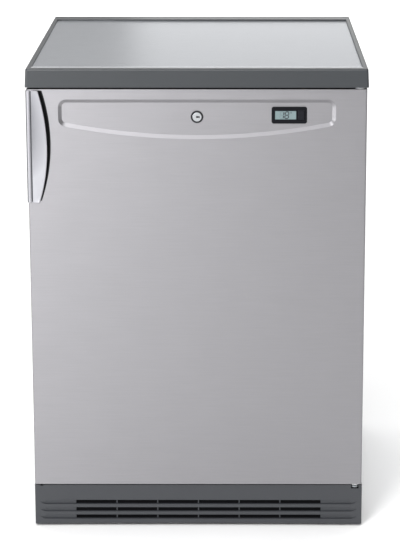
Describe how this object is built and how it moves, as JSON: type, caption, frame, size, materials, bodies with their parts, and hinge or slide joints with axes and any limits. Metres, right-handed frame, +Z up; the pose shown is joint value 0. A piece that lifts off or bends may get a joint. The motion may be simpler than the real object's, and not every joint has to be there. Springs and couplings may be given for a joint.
{
  "type": "undercounter refrigerator",
  "caption": "Free-standing undercounter refrigerator with worktop, right-hung insulated door, crescent grip, key lock, display, wire shelves and rear condenser.",
  "frame": {"origin": "on the floor, in the middle of the overall box from the grip's front to the worktop's rear edge", "axes": "+X to the right of someone facing the door, the door faces -Y, +Z up"},
  "size_m": [0.6, 0.6398, 0.85],
  "materials": {
    "worktop_plastic": "satin",
    "worktop_steel": "satin",
    "chipboard": "matte",
    "cabinet_steel": "satin",
    "zinc_steel": "satin",
    "foam": "matte",
    "liner_plastic": "satin",
    "plinth_plastic": "satin",
    "door_steel": "satin",
    "cap_plastic": "satin",
    "gasket_rubber": "matte",
    "nylon": "satin",
    "grip_plastic": "satin",
    "black_plastic": "satin",
    "lcd": "gloss",
    "chrome": "polished",
    "shelf_wire": "satin",
    "aluminium": "satin",
    "copper": "satin",
    "black_enamel": "satin",
    "rubber": "matte",
    "white_plastic": "satin",
    "screw_steel": "satin"
  },
  "bodies": {
    "cabinet": {"worktop_frame": "worktop_plastic", "worktop_board": "chipboard", "worktop_panel": "worktop_steel", "side_panel_left": "cabinet_steel", "side_panel_right": "cabinet_steel", "top_panel": "zinc_steel", "rear_panel": "cabinet_steel", "bottom_panel": "zinc_steel", "face_frame": "cabinet_steel", "insulation_foam": "foam", "inner_liner": "liner_plastic", "base_tray": "black_enamel", "plinth_grille": "plinth_plastic", "upper_hinge_bracket": "zinc_steel", "lower_hinge_bracket": "zinc_steel", "hinge_pins": "screw_steel", "panel_screws": "screw_steel", "lock_strike": "zinc_steel", "evaporator_plate": "aluminium", "thermostat_housing": "white_plastic", "condenser_tube": "black_enamel", "condenser_wires": "black_enamel", "condenser_brackets": "black_plastic", "compressor_shell": "black_enamel", "compressor_base": "black_enamel", "compressor_grommets": "rubber", "compressor_bolts": "screw_steel", "relay_box": "black_plastic", "cable_gland": "black_plastic", "filter_drier": "copper", "capillary_tube": "copper", "refrigerant_pipes": "copper", "evaporation_tray": "black_plastic", "drain_spout": "white_plastic", "roller_brackets": "zinc_steel", "roller_axles": "screw_steel"},
    "door": {"door_skin": "door_steel", "door_foam": "foam", "door_liner": "liner_plastic", "door_top_cap": "cap_plastic", "door_bottom_cap": "cap_plastic", "door_gasket": "gasket_rubber", "door_fittings": "nylon", "handle_grip": "grip_plastic", "handle_pocket": "black_plastic", "display_bezel": "black_plastic", "display_lcd": "lcd", "lock_ring": "black_plastic", "lock_barrel": "chrome"},
    "lock": {"lock_plug": "chrome", "lock_cam": "zinc_steel"},
    "button": {"display_button": "black_plastic"},
    "knob": {"thermostat_knob": "white_plastic"},
    "foot_l": {"foot_left": "black_plastic"},
    "foot_r": {"foot_right": "black_plastic"},
    "roller_l": {"roller_left": "nylon"},
    "roller_r": {"roller_right": "nylon"},
    "shelf_low": {"shelf_1": "shelf_wire"},
    "shelf_mid": {"shelf_2": "shelf_wire"},
    "shelf_top": {"shelf_3": "shelf_wire"}
  },
  "joints": [
    {"name": "door_hinge", "type": "hinge", "parent": "cabinet", "child": "door", "pos_m": [0.2855, -0.292, 0.083], "axis": [0, 0, 1], "range_deg": [0, 120]},
    {"name": "lock_turn", "type": "hinge", "parent": "door", "child": "lock", "pos_m": [0, -0.3, 0.7635], "axis": [0, -1, 0], "range_deg": [0, 90]},
    {"name": "button_press", "type": "slide", "parent": "door", "child": "button", "axis": [0, 1, 0], "range_m": [0, 0.0008], "stiffness_N_per_m": 400, "springref_m": -0.001},
    {"name": "thermostat_turn", "type": "hinge", "parent": "cabinet", "child": "knob", "pos_m": [0.173, -0.19, 0.7655], "axis": [0, 1, 0], "range_deg": [0, 270]},
    {"name": "foot_left_screw", "type": "slide", "parent": "cabinet", "child": "foot_l", "axis": [0, 0, -1], "range_m": [0, 0.015]},
    {"name": "foot_right_screw", "type": "slide", "parent": "cabinet", "child": "foot_r", "axis": [0, 0, -1], "range_m": [0, 0.015]},
    {"name": "roller_left_spin", "type": "hinge", "parent": "cabinet", "child": "roller_l", "pos_m": [-0.2555, 0.235, 0.009], "axis": [1, 0, 0], "continuous": true},
    {"name": "roller_right_spin", "type": "hinge", "parent": "cabinet", "child": "roller_r", "pos_m": [0.2555, 0.235, 0.009], "axis": [1, 0, 0], "continuous": true},
    {"name": "shelf_low_slide", "type": "slide", "parent": "cabinet", "child": "shelf_low", "axis": [0, -1, 0], "range_m": [0, 0.04]},
    {"name": "shelf_mid_slide", "type": "slide", "parent": "cabinet", "child": "shelf_mid", "axis": [0, -1, 0], "range_m": [0, 0.04]},
    {"name": "shelf_top_slide", "type": "slide", "parent": "cabinet", "child": "shelf_top", "axis": [0, -1, 0], "range_m": [0, 0.04]}
  ]
}
